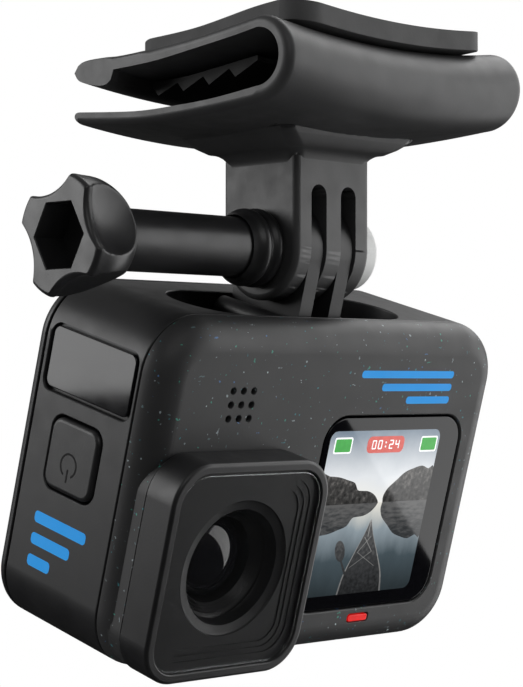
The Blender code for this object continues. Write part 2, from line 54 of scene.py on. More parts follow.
SOFTBOX_DISTANCE = 0.86
PIVOT = Vector(JOINTS["camera_tilt"]["pos_m"])
FORWARD = JOINTS["lens_cover_twist"]["axis"]
TILT = atan2(-FORWARD[2], -FORWARD[1])
CLIP = Matrix.Translation(PIVOT)
CAMERA = CLIP @ Matrix.Rotation(TILT, 4, "X")


def span(node, place):
    """Lowest and highest corner of a CAD node in a local frame, in mm."""
    inverse = place.inverted()
    corners = [inverse @ vertex.co / MM for vertex in NODES[node].data.vertices]
    low = [min(corner[i] for corner in corners) for i in range(3)]
    high = [max(corner[i] for corner in corners) for i in range(3)]
    return low, high


def centre_of(low, high, i, j):
    return (low[i] + high[i]) / 2, (low[j] + high[j]) / 2


# Sizes taken from the frame
SHELL_LOW, SHELL_HIGH = span("front_shell", CAMERA)
REAR_LOW, REAR_HIGH = span("rear_cover", CAMERA)
HOUSE_LOW, HOUSE_HIGH = span("main_housing", CAMERA)
LEFT_X, RIGHT_X = SHELL_LOW[0], SHELL_HIGH[0]
BASE_Z, TOP_Z = SHELL_LOW[2], SHELL_HIGH[2]
FRONT_Y = SHELL_LOW[1]
BODY_W, BODY_H = RIGHT_X - LEFT_X, TOP_Z - BASE_Z
BODY_X, MID_Z = centre_of(SHELL_LOW, SHELL_HIGH, 0, 2)
COVER_LOW, COVER_HIGH = span("lens_cover_frame", CAMERA)
LENS_X, LENS_Z = centre_of(COVER_LOW, COVER_HIGH, 0, 2)
COVER_W, COVER_H = COVER_HIGH[0] - COVER_LOW[0], COVER_HIGH[2] - COVER_LOW[2]
COVER_Y, COVER_BACK_Y = COVER_LOW[1], COVER_HIGH[1]
GLASS_LOW, GLASS_HIGH = span("front_display_glass", CAMERA)
CLIP_LOW, CLIP_HIGH = span("clip_body", CLIP)
KNOB_LOW, KNOB_HIGH = span("thumb_knob", CLIP)
PAD_LOW, PAD_HIGH = span("top_pad", CLIP)

# Radii and shapes that follow the CAD
CORNER_R, FRONT_EDGE_R, BACK_EDGE_R = 8.5, 4.5, 2.0
WALL = 1.5
POCKET = (43.0, 14.8, 4.4)    # length, width and depth of the hollow for the fingers
CLIP_BOW = 170.0              # radius of the clip's curve along the brim
BEND_Y, BEND_Z = -16.6, 22.3
BEND_OUT, BEND_IN = (6.1, 5.8), (4.1, 3.95)
PRONG, SLOT_HALF = 3.11, 1.6
NECK_R, BORE_R = 7.5, 2.8
NUT_CORNER_R = 4.62
BARREL_R = 4.3
KNOB_R, KNOB_TURN = 8.4, 28.5
HOLLOW_R, HOLLOW_REACH = 9.1, 15.2
HEX_R, HEX_DEPTH = 5.04, 5.0
COVER_R = 6.0
PIN_HOLE_R = 0.95

# Sizes of the drawn shapes alone
WINDOW_Y = -9.6               # how deep the front shell is cut for the glass and the lamp
DOOR_SILL_Z = -54.2
HINGE_RELIEF_R = 3.1
DISPLAY_Y = GLASS_LOW[1] + 0.09    # front of the drawn glass, just behind the picture's layers
LAYER = 0.008
PICTURE_LEFT, PICTURE_RIGHT, PICTURE_LOW, PICTURE_TOP = 2.0, 26.8, -50.0, -24.2
HORIZON = -35.6
FLAT_FACE = 12                # a face with this many corners or more is a flat one left by a cut


# ------------ outlines and meshes

def arc(cx, cy, rx, ry, start, end, count):
    """Points on an ellipse arc, angles in degrees."""
    step = (end - start) / count
    angles = [radians(start + step * i) for i in range(count + 1)]
    return [(cx + rx * cos(a), cy + ry * sin(a)) for a in angles]


def circle(radius, count=96, cx=0.0, cy=0.0):
    return arc(cx, cy, radius, radius, 0, 360 - 360 / count, count - 1)


def rounded(width, height, radius, cx=0.0, cy=0.0, count=14):
    """Rectangle with round corners, anticlockwise."""
    x, y = width / 2 - radius, height / 2 - radius
    points = []
    for i, (sx, sy) in enumerate([(1, 1), (-1, 1), (-1, -1), (1, -1)]):
        points += arc(cx + sx * x, cy + sy * y, radius, radius, 90 * i, 90 * i + 90, count)
    return points


def inset_of(width, height, radius, cx=0.0, cy=0.0, count=14):
    """The same rectangle as a function of how far it is pulled in."""
    def outline(inset):
        return rounded(width - 2 * inset, height - 2 * inset, max(radius - inset, 0.05), cx, cy, count)
    return outline


def face_of(low, high, i, j, radius, extra=0.0):
    """The outline of one face of a box with round corners, wider and taller by extra."""
    return inset_of(high[i] - low[i] + extra, high[j] - low[j] + extra, radius, *centre_of(low, high, i, j))


def quarter_round(radius, angles):
    """Pairs of the way in from an end and the way the outline is pulled in there."""
    return [(radius * (1 - cos(radians(a))), radius * (1 - sin(radians(a)))) for a in angles]


def smooth_line(points, steps):
    """Catmull-Rom curve through the points."""
    padded = [points[0]] + points + [points[-1]]
    out = []
    for a, b, c, d in zip(padded, padded[1:], padded[2:], padded[3:]):
        for i in range(steps):
            t = i / steps
            out.append(tuple(0.5 * (2 * q + (r - p) * t + (2 * p - 5 * q + 4 * r - s) * t * t
                                    + (3 * q - p - 3 * r + s) * t ** 3)
                             for p, q, r, s in zip(a, b, c, d)))
    return out + [points[-1]]


def loft(rings, closed=False, bm=None):
    """Skin a row of rings with equal counts; the end rings are capped unless the row is closed."""
    bm = bm or bmesh.new()
    rows = [[bm.verts.new(point) for point in ring] for ring in rings]
    pairs = list(zip(rows, rows[1:]))
    if closed:
        pairs.append((rows[-1], rows[0]))
    for one, two in pairs:
        for i in range(len(one)):
            j = (i + 1) % len(one)
            bm.faces.new((one[i], one[j], two[j], two[i]))
    if not closed:
        bm.faces.new(rows[0])
        bm.faces.new(rows[-1])
    return bm


def along(axis, outline, level):
    """Place a flat outline at a level of one axis: (y, z) on X, (x, z) on Y, (x, y) on Z."""
    if axis == "X":
        return [(level, a, b) for a, b in outline]
    if axis == "Y":
        return [(a, level, b) for a, b in outline]
    return [(a, b, level) for a, b in outline]


def prism(axis, outline, low, high, bm=None):
    return loft([along(axis, outline, low), along(axis, outline, high)], bm=bm)


def turned(axis, profile, centre=(0.0, 0.0), count=96):
    """Turn a profile of (radius, level) about an axis; a profile that closes on itself is a ring."""
    ring_shape = profile[0] == profile[-1]
    levels = profile[:-1] if ring_shape else profile
    rings = [along(axis, circle(r, count, *centre), level) for r, level in levels]
    return loft(rings, closed=ring_shape)


def stack(axis, outline_of, levels, closed=False):
    """Skin an outline through pairs of a level and how far the outline is pulled in there."""
    return loft([along(axis, outline_of(inset), level) for level, inset in levels], closed)


def plate(axis, outline_of, low, high, edge, foot=0.0):
    """A plate with quarter-round edges at its high side, and at its low side if foot is given."""
    rise = 1 if high > low else -1
    levels = [(low + rise * foot, 0)]
    if foot:
        start = quarter_round(foot, range(0, 90, 18))
        levels = [(low + rise * way, inset) for way, inset in start] + levels
    end = quarter_round(edge, [11.25 * i for i in range(9)])
    levels += [(high - rise * way, inset) for inset, way in end]
    return stack(axis, outline_of, levels)


def recess(axis, outline_of, surface, floor, lip):
    """A tool that sinks an outline from a surface to a floor and rounds the edge by lip."""
    inward = 1 if floor > surface else -1
    mouth = quarter_round(lip, range(18, 91, 18))
    levels = [(surface - inward * 3, -lip)]
    levels += [(surface + inward * way, -inset) for way, inset in mouth] + [(floor, 0)]
    return stack(axis, outline_of, levels)


# ------------ pieces

def mesh_object(name, bm):
    """A mesh still in its local frame and in mm, so that flat faces stay exactly flat while it is cut."""
    bmesh.ops.recalc_face_normals(bm, faces=bm.faces)
    mesh = bpy.data.meshes.new(name)
    bm.to_mesh(mesh)
    bm.free()
    obj = bpy.data.objects.new(name, mesh)
    bpy.context.scene.collection.objects.link(obj)
    return obj


def carve(obj, bm, operation="DIFFERENCE"):
    """Boolean a second mesh into the piece and keep only the result."""
    tool = mesh_object("tool", bm)
    step = obj.modifiers.new("carve", "BOOLEAN")
    step.operation = operation
    step.solver = "EXACT"
    step.object = tool
    graph = bpy.context.evaluated_depsgraph_get()
    result = bpy.data.meshes.new_from_object(obj.evaluated_get(graph))
    obj.modifiers.clear()
    old = obj.data
    obj.data = result
    bpy.data.meshes.remove(old)
    bpy.data.objects.remove(tool)


def dress(obj, place, mat, body, nodes=(), bevel=0.0, angle=38):
    """Put a piece in place and give it its material, soft edges and body, and hide the nodes it stands for.
    """
    obj.data.transform(place @ Matrix.Scale(MM, 4))
    obj.data.materials.clear()
    obj.data.materials.append(mat)
    for face in obj.data.polygons:
        face.use_smooth = len(face.vertices) < FLAT_FACE
    if bevel:
        soft = obj.modifiers.new("soft_edges", "BEVEL")
        soft.width = bevel * MM
        soft.segments = 3
        soft.limit_method = "ANGLE"
        soft.angle_limit = radians(angle)
        soft.use_clamp_overlap = True
        soft.miter_outer = "MITER_ARC"
    else:
        obj.data.set_sharp_from_angle(angle=radians(angle))
    shade = obj.modifiers.new("flat_faces", "WEIGHTED_NORMAL")
    shade.weight = 80
    shade.keep_sharp = True
    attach(obj, body)
    if nodes:
        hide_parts(*nodes)
    return obj


def piece(name, bm, place, mat, body, nodes=(), bevel=0.0):
    return dress(mesh_object(name, bm), place, mat, body, nodes, bevel)


# ------------ materials

class Graph:
    """Short names for the node calls that every material here uses."""

    def __init__(self, name):
        self.material = bpy.data.materials.new(name)
        self.material.use_nodes = True
        self.tree = self.material.node_tree
        self.shader = self.tree.nodes["Principled BSDF"]
        self.where = self.node("ShaderNodeTexCoord").outputs["Object"]

    def node(self, kind, **settings):
        made = self.tree.nodes.new(kind)
        for key, value in settings.items():
            setattr(made, key, value)
        return made

    def link(self, source, target):
        self.tree.links.new(source, target)

    def feed(self, name, source):
        self.link(source, self.shader.inputs[name])

    def noise(self, size, detail=3.0, stretch=None):
        """Noise whose features are about size mm across."""
        source = self.where
        if stretch:
            mapping = self.node("ShaderNodeMapping")
            mapping.inputs["Scale"].default_value = stretch
            self.link(source, mapping.inputs["Vector"])
            source = mapping.outputs["Vector"]
        made = self.node("ShaderNodeTexNoise")
        made.inputs["Scale"].default_value = 1 / (size * MM)
        made.inputs["Detail"].default_value = detail
        self.link(source, made.inputs["Vector"])
        return made.outputs["Fac"]

    def ramp(self, source, stops, interpolation="LINEAR"):
        made = self.node("ShaderNodeValToRGB")
        made.color_ramp.interpolation = interpolation
        spots = made.color_ramp.elements
        while len(spots) < len(stops):
            spots.new(0.5)
        for spot, (position, colour) in zip(spots, stops):
            spot.position = position
            spot.color = (*colour, 1.0) if isinstance(colour, (list, tuple)) else (colour,) * 3 + (1.0,)
        self.link(source, made.inputs["Fac"])
        return made.outputs["Color"]

    def map(self, source, low, high, to_low, to_high):
        made = self.node("ShaderNodeMapRange")
        for key, value in (("From Min", low), ("From Max", high), ("To Min", to_low), ("To Max", to_high)):
            made.inputs[key].default_value = value
        self.link(source, made.inputs["Value"])
        return made.outputs["Result"]

    def math(self, operation, one, two):
        made = self.node("ShaderNodeMath", operation=operation)
        for slot, value in zip(made.inputs, (one, two)):
            if isinstance(value, (int, float)):
                slot.default_value = value
            else:
                self.link(value, slot)
        return made.outputs["Value"]

    def mix(self, factor, one, two):
        made = self.node("ShaderNodeMix", data_type="RGBA")
        self.link(factor, made.inputs["Factor"])
        for slot, value in (("A", one), ("B", two)):
            target = [i for i in made.inputs if i.name == slot and i.type == "RGBA"][0]
            if isinstance(value, tuple):
                target.default_value = (*value, 1.0)
            else:
                self.link(value, target)
        return [o for o in made.outputs if o.type == "RGBA"][0]

    def bump(self, height, depth, strength=1.0, after=None):
        """Bump of about depth mm."""
        made = self.node("ShaderNodeBump")
        made.inputs["Strength"].default_value = strength
        made.inputs["Distance"].default_value = depth * MM
        self.link(height, made.inputs["Height"])
        if after:
            self.link(after, made.inputs["Normal"])
        self.feed("Normal", made.outputs["Normal"])
        return made.outputs["Normal"]

    def set(self, **values):
        for key, value in values.items():
            self.shader.inputs[key.replace("_", " ")].default_value = value


def moulded(name, colour, roughness, grain=0.35, depth=0.012, wear=0.12, painted_glow=0.0):
    """Moulded plastic or rubber: fine texture, faint cloudiness and a little uneven polish, with an optional
    glow in its own colour that is painted light.
    """
    g = Graph(name)
    cloud = g.noise(9.0, 4.0)
    light = tuple(min(c * (1 + wear) + 0.002, 1) for c in colour)
    dark = tuple(c * (1 - wear) for c in colour)
    g.feed("Base Color", g.ramp(cloud, [(0.3, dark), (0.7, light)]))
    patches = g.noise(3.0, 5.0)
    g.feed("Roughness", g.map(patches, 0.25, 0.75, roughness - 0.05, roughness + 0.06))
    fine = g.noise(grain, 2.0)
    first = g.bump(fine, depth, 0.6)
    g.bump(g.noise(14.0, 2.0), 0.05, 0.25, first)
    # Painted light: the surface emits its own colour, so a print looks lit though it is no lamp.
    if painted_glow:
        g.set(Emission_Color=(*colour, 1.0), Emission_Strength=painted_glow)
    return g.material


def speckled(name, colour, roughness):
    """Soft black skin with sparse pale, teal, green and blue flecks, some drawn out into short hairs."""
    g = Graph(name)
    cloud = g.noise(12.0, 4.0)
    base = g.ramp(cloud, [(0.3, tuple(c * 0.9 for c in colour)), (0.7, tuple(c * 1.1 for c in colour))])
    warp = g.node("ShaderNodeTexNoise")
    warp.inputs["Scale"].default_value = 1 / (0.35 * MM)
    g.link(g.where, warp.inputs["Vector"])
    shift = g.node("ShaderNodeVectorMath", operation="SCALE")
    shift.inputs["Scale"].default_value = 0.5 * MM
    g.link(warp.outputs["Color"], shift.inputs[0])
    bent = g.node("ShaderNodeVectorMath", operation="ADD")
    g.link(g.where, bent.inputs[0])
    g.link(shift.outputs["Vector"], bent.inputs[1])
    height = None
    layers = [(0.9, (1, 1, 1), (0, 0, 0), 0.20), (1.5, (1, 1, 1), (0, 0, 0), 0.15),
              (1.0, (0.2, 1, 1), (0, 0.6, 0.5), 0.14), (1.1, (1, 1, 0.18), (0.3, 0.4, 0), 0.13),
              (1.2, (0.25, 1, 1), (0.4, -0.7, 0.2), 0.13)]
    for cell, stretch, turn, size in layers:
        place = g.node("ShaderNodeMapping")
        place.inputs["Scale"].default_value = stretch
        place.inputs["Rotation"].default_value = turn
        g.link(bent.outputs["Vector"], place.inputs["Vector"])
        spots = g.node("ShaderNodeTexVoronoi")
        spots.inputs["Scale"].default_value = 1 / (cell * MM)
        g.link(place.outputs["Vector"], spots.inputs["Vector"])
        parts = g.node("ShaderNodeSeparateColor")
        g.link(spots.outputs["Color"], parts.inputs["Color"])
        reach = g.map(parts.outputs["Red"], 0.3, 1.0, 0.0, size)
        edge = g.math("SUBTRACT", reach, spots.outputs["Distance"])
        mask = g.map(edge, 0.0, 0.03, 0.0, 1.0)
        tints = [(0.0, (0.10, 0.16, 0.17)), (0.3, (0.03, 0.22, 0.26)), (0.5, (0.30, 0.36, 0.38)),
                 (0.7, (0.04, 0.30, 0.22)), (0.85, (0.06, 0.18, 0.42)), (0.94, (0.55, 0.66, 0.68))]
        base = g.mix(mask, base, g.ramp(parts.outputs["Green"], tints, "CONSTANT"))
        height = mask if height is None else g.math("MAXIMUM", height, mask)
    g.feed("Base Color", base)
    polish = g.noise(4.0, 4.0)
    g.feed("Roughness", g.map(polish, 0.25, 0.75, roughness - 0.05, roughness + 0.05))
    first = g.bump(g.noise(0.3, 2.0), 0.01, 0.6)
    g.bump(height, 0.01, 0.3, first)
    return g.material


def gloss(name, colour, roughness=0.06, smear=0.03, shine=0.5):
    """Polished panel or glass over black, with faint handling marks in the polish."""
    g = Graph(name)
    marks = g.noise(6.0, 6.0, stretch=(1.0, 1.0, 2.5))
    g.feed("Roughness", g.map(marks, 0.4, 0.75, roughness, roughness + smear))
    tint = g.noise(20.0, 2.0)
    lift = tuple(c * 1.15 + 0.001 for c in colour)
    g.feed("Base Color", g.ramp(tint, [(0.3, colour), (0.7, lift)]))
    g.set(Specular_IOR_Level=shine)
    return g.material


def clear(name):
    """Clear pane: see-through face on, and more of a mirror at a glancing angle."""
    g = Graph(name)
    marks = g.noise(5.0, 4.0, stretch=(1.0, 1.0, 3.0))
    g.feed("Roughness", g.map(marks, 0.5, 0.8, 0.02, 0.05))
    facing = g.node("ShaderNodeLayerWeight").outputs["Facing"]
    g.feed("Alpha", g.map(g.math("POWER", facing, 4.0), 0.0, 1.0, 0.1, 0.8))
    g.set(Base_Color=(0.92, 0.94, 0.95, 1.0), Metallic=1.0)
    return g.material


def metal(name, colour, roughness):
    """Bare metal with fine drawn lines along X."""
    g = Graph(name)
    lines = g.noise(0.6, 4.0, stretch=(1.0, 6.0, 6.0))
    g.feed("Roughness", g.map(lines, 0.3, 0.7, roughness - 0.06, roughness + 0.1))
    tones = [(0.3, tuple(c * 0.85 for c in colour)), (0.7, colour)]
    g.feed("Base Color", g.ramp(g.noise(4.0, 3.0), tones))
    g.set(Metallic=1.0)
    g.bump(lines, 0.006, 0.5)
    return g.material


def glowing(name, colour, strength):
    """Lit surface with a little unevenness."""
    g = Graph(name)
    dark = tuple(c * 0.88 for c in colour)
    tone = g.ramp(g.noise(1.2, 3.0), [(0.35, dark), (0.65, colour)])
    g.feed("Base Color", tone)
    g.feed("Emission Color", tone)
    g.set(Emission_Strength=strength, Roughness=0.25)
    return g.material


def painted(name, stops, low, high, grain, strength, size, stretch=None):
    """Screen paint: colours run up the picture from low to high and are broken up by noise of one size."""
    g = Graph(name)
    turn = g.node("ShaderNodeMapping", vector_type="TEXTURE")
    turn.inputs["Location"].default_value = PIVOT
    turn.inputs["Rotation"].default_value = (TILT, 0, 0)
    g.link(g.where, turn.inputs["Vector"])
    parts = g.node("ShaderNodeSeparateXYZ")
    g.link(turn.outputs["Vector"], parts.inputs["Vector"])
    run = g.map(parts.outputs["Z"], low * MM, high * MM, 0.0, 1.0)
    ripple = g.math("SUBTRACT", g.noise(size, 6.0, stretch=stretch), 0.5)
    tone = g.ramp(g.math("ADD", run, g.math("MULTIPLY", ripple, grain)), stops)
    g.set(Base_Color=(0.01, 0.01, 0.01, 1.0), Roughness=0.03, Specular_IOR_Level=0.3)
    g.set(Emission_Strength=strength)
    g.feed("Emission Color", tone)
    return g.material


clip_plastic = moulded("clip_plastic", (0.040, 0.040, 0.041), 0.44)
teeth_rubber = moulded("teeth_rubber", (0.012, 0.012, 0.012), 0.6)
knob_plastic = moulded("knob_plastic", (0.018, 0.018, 0.019), 0.34)
rubber = moulded("pad_rubber", (0.082, 0.082, 0.083), 0.72, 0.5, 0.03)
pale_nut = moulded("pale_nut", (0.80, 0.81, 0.80), 0.3, 0.8, 0.006, 0.05)
skin = speckled("speckled_skin", (0.032, 0.032, 0.033), 0.5)
plastic = moulded("casing_plastic", (0.014, 0.014, 0.015), 0.42)
cover_plastic = moulded("cover_plastic", (0.012, 0.012, 0.013), 0.40)
panel_gloss = gloss("panel_gloss", (0.006, 0.006, 0.007), 0.05, shine=0.36)
screen_black = gloss("screen_black", (0.003, 0.003, 0.004), 0.02, 0.01, shine=0.3)
pane_clear = clear("pane_clear")
lens_coat = gloss("lens_coat", (0.006, 0.006, 0.008), 0.02, 0.01, shine=0.7)
inner = moulded("inner_black", (0.011, 0.011, 0.012), 0.38, 0.5, 0.01)
steel = metal("drawn_steel", (0.60, 0.60, 0.61), 0.3)
# Blue print whose glow is painted light, brightening the stripes beyond what the lamps give.
mark_blue = moulded("mark_blue", (0.001, 0.25, 0.66), 0.6, 0.3, 0.004, 0.06, painted_glow=0.42)
# A near-black sheet for the power symbol: painted shade standing in for its engraved recess.
icon_painted_shade = moulded("icon_painted_shade", (0.001, 0.001, 0.001), 0.8, 0.3, 0.004, 0.1)
lamp_red = glowing("lamp_red", (0.62, 0.006, 0.005), 0.6)
board_green = moulded("board_green", (0.015, 0.085, 0.045), 0.4, 0.6, 0.03, 0.3)
sensor_tint = gloss("sensor_tint", (0.20, 0.12, 0.26), 0.12)
battery_blue = moulded("battery_blue", (0.03, 0.14, 0.32), 0.4, 0.5, 0.02)


# ------------ clip

def bow(x):
    """How far the clip has risen at x, since it curves along the brim."""
    return x * x / (2 * CLIP_BOW)


def stations(half, count):
    return [half * (2 * i / count - 1) for i in range(count + 1)]


def clip_profile(roll):
    """Side outline (y, z) of the U-shaped clip at its middle, its outer face pulled in by roll."""
    top = smooth_line([(20.2, 25.2), (18.0, 25.75), (9.0, 25.8), (-4.0, 26.6), (BEND_Y, 28.1)], 6)
    top = [(y, z - roll * (0.3 if y > 14 else 1 if y < 6 else 0.65)) for y, z in top]
    bend = arc(BEND_Y, BEND_Z, BEND_OUT[0] - roll, BEND_OUT[1] - roll, 90, 270, 40)[1:]
    bottom = smooth_line([(BEND_Y, 16.5), (-9.0, 15.95), (0, 15.55), (8.0, 15.55), (20.2, 16.5)], 6)[1:]
    bottom = [(y, z + roll * 0.7) for y, z in bottom]
    tip = arc(20.2, 17.3 + roll * 0.2, 0.75, 0.8 - roll * 0.2, -90, 90, 8)[1:]
    inside = smooth_line([(19.8, 18.1), (8.0, 17.2), (0, 17.2), (-8.0, 17.5), (BEND_Y, 18.35)], 6)
    hollow = arc(BEND_Y, BEND_Z, *BEND_IN, 270, 90, 36)[1:]
    roof = smooth_line([(BEND_Y, 26.25), (-12.0, 25.6), (-4.0, 24.7), (4.0, 23.9), (12.4, 23.6)], 6)[1:]
    lip = smooth_line([(13.0, 22.2), (14.2, 21.6), (16.4, 21.7), (19.8, 22.6), (21.0, 23.9)], 5)
    return top + bend + bottom + tip + inside + hollow + roof + lip


def make_clip():
    half = (CLIP_HIGH[0] - CLIP_LOW[0]) / 2
    edge = 1.25
    ends = [(half - way, roll) for way, roll in quarter_round(edge, range(0, 91, 10))]
    places = [(-x, roll) for x, roll in ends] + [(x, 0) for x in stations(half - edge - 1.0, 40)]
    places += list(reversed(ends))
    rings = [[(x, y, z + bow(x)) for y, z in clip_profile(roll)] for x, roll in places]
    body = mesh_object("clip_arms", loft(rings))

    # plinth and flare between the clip and the neck
    steps = [(7.2, 6.8, 11.6)]
    for i in range(7):
        a = radians(15 * i)
        steps.append((7.75 + 2.2 * (1 - cos(a)), 7.35 + 2.2 * (1 - cos(a)), 11.9 + 2.2 * sin(a)))
    steps += [(10.6, 9.9, 14.4), (11.7, 10.5, 14.9), (13.0, 11.1, 15.7)]
    steps += [(13.9, 11.5, 16.4), (13.9, 11.5, 17.0)]
    flare = loft([along("Z", rounded(2 * x, 2 * y, 1.8, count=8), z) for x, y, z in steps])
    carve(body, flare, "UNION")

    def neck(inset):
        radius = NECK_R - inset
        return arc(0, 0, radius, radius, 180, 360, 64) + [(radius, 13.4), (-radius, 13.4)]

    side, soft = 2.5 * PRONG, 0.86
    sides = [(-side + way, inset) for way, inset in quarter_round(soft, range(0, 91, 15))]
    sides += [(-x, inset) for x, inset in reversed(sides)]
    carve(body, stack("X", neck, sides), "UNION")
    for x in (-PRONG, PRONG):
        slot = [(x - SLOT_HALF, -9), (x + SLOT_HALF, -9)] + arc(x, 7.5, SLOT_HALF, SLOT_HALF, 0, 180, 24)
        carve(body, prism("Y", slot, -9.5, 9.5))
    carve(body, turned("X", [(BORE_R, -9), (BORE_R, 9)], count=64))
    carve(body, prism("X", circle(NUT_CORNER_R + FIT, 6), 5.6, 9))
    dress(body, CLIP, clip_plastic, "clip", ["clip_body"], bevel=0.28, angle=42)


def make_pad():
    """Soft slab along the upper plate; its ends and edges are gently rounded."""
    back, front = PAD_HIGH[1], PAD_LOW[1]
    half, corner = PAD_HIGH[0], 4.5

    def section(x):
        over_corner = max(abs(x) - (half - corner), 0)
        cut = corner - sqrt(max(corner ** 2 - over_corner ** 2, 0.0))
        under = smooth_line([(back - cut, 25.95 + cut * 0.05), (0, 26.6), (-12.0 + cut * 0.3, 28.0),
                             (front + cut, 28.45)], 8)
        over = [(y, z + 2.8) for y, z in reversed(under)]
        return [(y, z + bow(x)) for y, z in under + over]

    corners = [half - corner * (1 - sin(radians(a))) for a in range(0, 86, 6)]
    places = [-x for x in reversed(corners)] + stations(half - corner - 0.5, 24) + corners
    rings = [along("X", section(x), x) for x in places]
    piece("top_cushion_pad", loft(rings), CLIP, rubber, "clip", ["top_pad"], bevel=0.5)


def make_nut():
    """Hexagon nut in the far prong with its round cap outside."""
    cap = [(5.3, 7.95), (5.5, 8.15), (5.5, 11.3)] + arc(3.4, 11.3, 2.1, 1.2, 0, 90, 12)[1:]
    nut = turned("X", [(r, x) for r, x in cap])
    prism("X", circle(NUT_CORNER_R, 6), 5.9, 8.4, bm=nut)
    piece("nut_and_cap", nut, CLIP, pale_nut, "clip", ["captive_nut"], bevel=0.25)


# ------------ thumbscrew

def knob_radius(depth, angle):
    """Distance of the knob's surface from its axis: a dome cut by four hollows behind a thin front band."""
    fall = min(max((depth - 2.0) / 7.8, 0), 1)
    dome = BARREL_R + (KNOB_R - BARREL_R) * (1 - fall ** 2.3) ** 0.8
    across = abs((angle + pi / 4 - radians(KNOB_TURN)) % (pi / 2) - pi / 4) - pi / 4
    swell = max(1 - ((depth - 5.3) / 4.2) ** 2, 0) ** 0.5
    radius = HOLLOW_R + 0.75 * swell
    side = HOLLOW_REACH * sin(across)
    hollow = HOLLOW_REACH * cos(across) - sqrt(max(radius ** 2 - side ** 2, 0))
    blend = 0.3
    near = max(blend - abs(dome - hollow), 0) / blend
    return max(min(dome, hollow) - near * near * blend / 4, BARREL_R)


def make_knob():
    face, edge, chamfer = KNOB_LOW[0], 0.7, 0.4
    turns = [tau * i / 360 for i in range(360)]

    def ring(x, radii):
        return [(x, -r * sin(a), r * cos(a)) for r, a in zip(radii, turns)]

    levels = quarter_round(edge, range(0, 91, 15)) + [(edge + 0.1 * i, 0) for i in range(1, 96)]
    rings = [ring(face + depth, [knob_radius(depth, a) - shrink for a in turns]) for depth, shrink in levels]
    rings += [ring(x, [BARREL_R] * len(turns)) for x in (-34.0, -20.0, KNOB_HIGH[0] - chamfer)]
    rings.append(ring(KNOB_HIGH[0], [BARREL_R - chamfer] * len(turns)))
    knob = mesh_object("knob_and_barrel", loft(rings))

    def hexagon(inset):
        return circle(HEX_R - inset, 6)

    carve(knob, recess("X", hexagon, face, face + HEX_DEPTH, 0.25))
    carve(knob, turned("X", [(BORE_R, face + 7.5), (BORE_R, 0)], count=48))
    dress(knob, CLIP, knob_plastic, "thumbscrew", ["thumb_knob"])


def make_collar():
    """Two rounded rings that taper down to the barrel."""
    bore = BARREL_R + FIT
    profile = [(bore, -8.1), (5.1, -8.1)]
    profile += [(5.0 + 0.72 * sin(radians(a)), -8.95 + 0.8 * cos(radians(a))) for a in range(15, 156, 14)]
    profile += [(5.1, -10.0)]
    profile += [(4.75 + 0.85 * sin(radians(a)), -11.15 + 1.0 * cos(radians(a))) for a in range(25, 146, 12)]
    profile += [(4.95, -12.3), (4.72, -12.9), (bore, -13.4), (bore, -8.1)]
    piece("collar_rings", turned("X", profile), CLIP, knob_plastic, "collar",
          ["screw_collar"])


# ------------ camera casing

def casing(inset):
    """Front outline (x, z) of the casing, pulled in by inset."""
    return rounded(BODY_W - 2 * inset, BODY_H - 2 * inset, CORNER_R - inset, BODY_X, MID_Z, 20)


def make_front_shell():
    low, high = FRONT_Y, SHELL_HIGH[1]
    centre_y = low + FRONT_EDGE_R
    stop = asin((centre_y - high) / FRONT_EDGE_R)
    levels = []
    for i in range(17):
        a = pi / 2 + (stop - pi / 2) * i / 16
        levels.append((centre_y - FRONT_EDGE_R * sin(a), FRONT_EDGE_R * (1 - cos(a))))
    levels += [(high, levels[-1][1] + 0.12), (high, WALL + 0.2), (low + WALL, FRONT_EDGE_R)]
    shell = mesh_object("speckled_front", stack("Y", casing, levels))
    seat = rounded(COVER_W - 0.6, COVER_H - 0.6, COVER_R, LENS_X, LENS_Z)
    carve(shell, prism("Y", seat, low + 0.02, high), "UNION")
    carve(shell, turned("Y", [(10.2, -14), (10.2, -6)], (LENS_X, LENS_Z)))
    window = face_of(GLASS_LOW, GLASS_HIGH, 0, 2, 4.3, 2 * FIT)
    carve(shell, recess("Y", window, low, WINDOW_Y, 0.35))

    # nine microphone holes in a square
    hole = [(0.6, low - 1), (0.6, low - 0.01), (0.54, low + 0.04), (0.5, low + 0.12), (0.5, low + 2.7)]
    pitch, middle_z = 2, -20.0
    for i in (-1, 0, 1):
        for j in (-1, 0, 1):
            carve(shell, turned("Y", hole, (LENS_X + pitch * i, middle_z + pitch * j), 24))
    lamp_low, lamp_high = span("status_led", CAMERA)
    x, z = centre_of(lamp_low, lamp_high, 0, 2)
    carve(shell, recess("Y", inset_of(4.6, 1.4, 0.5, x, z, 6), low, WINDOW_Y, 0.2))
    dress(shell, CAMERA, skin, "camera", ["front_shell"])
    lamp = plate("Y", inset_of(4.2, 1.0, 0.3, x, z, 6), lamp_high[1], low - 0.01, 0.06)
    piece("record_lamp", lamp, CAMERA, lamp_red, "camera", ["status_led"])


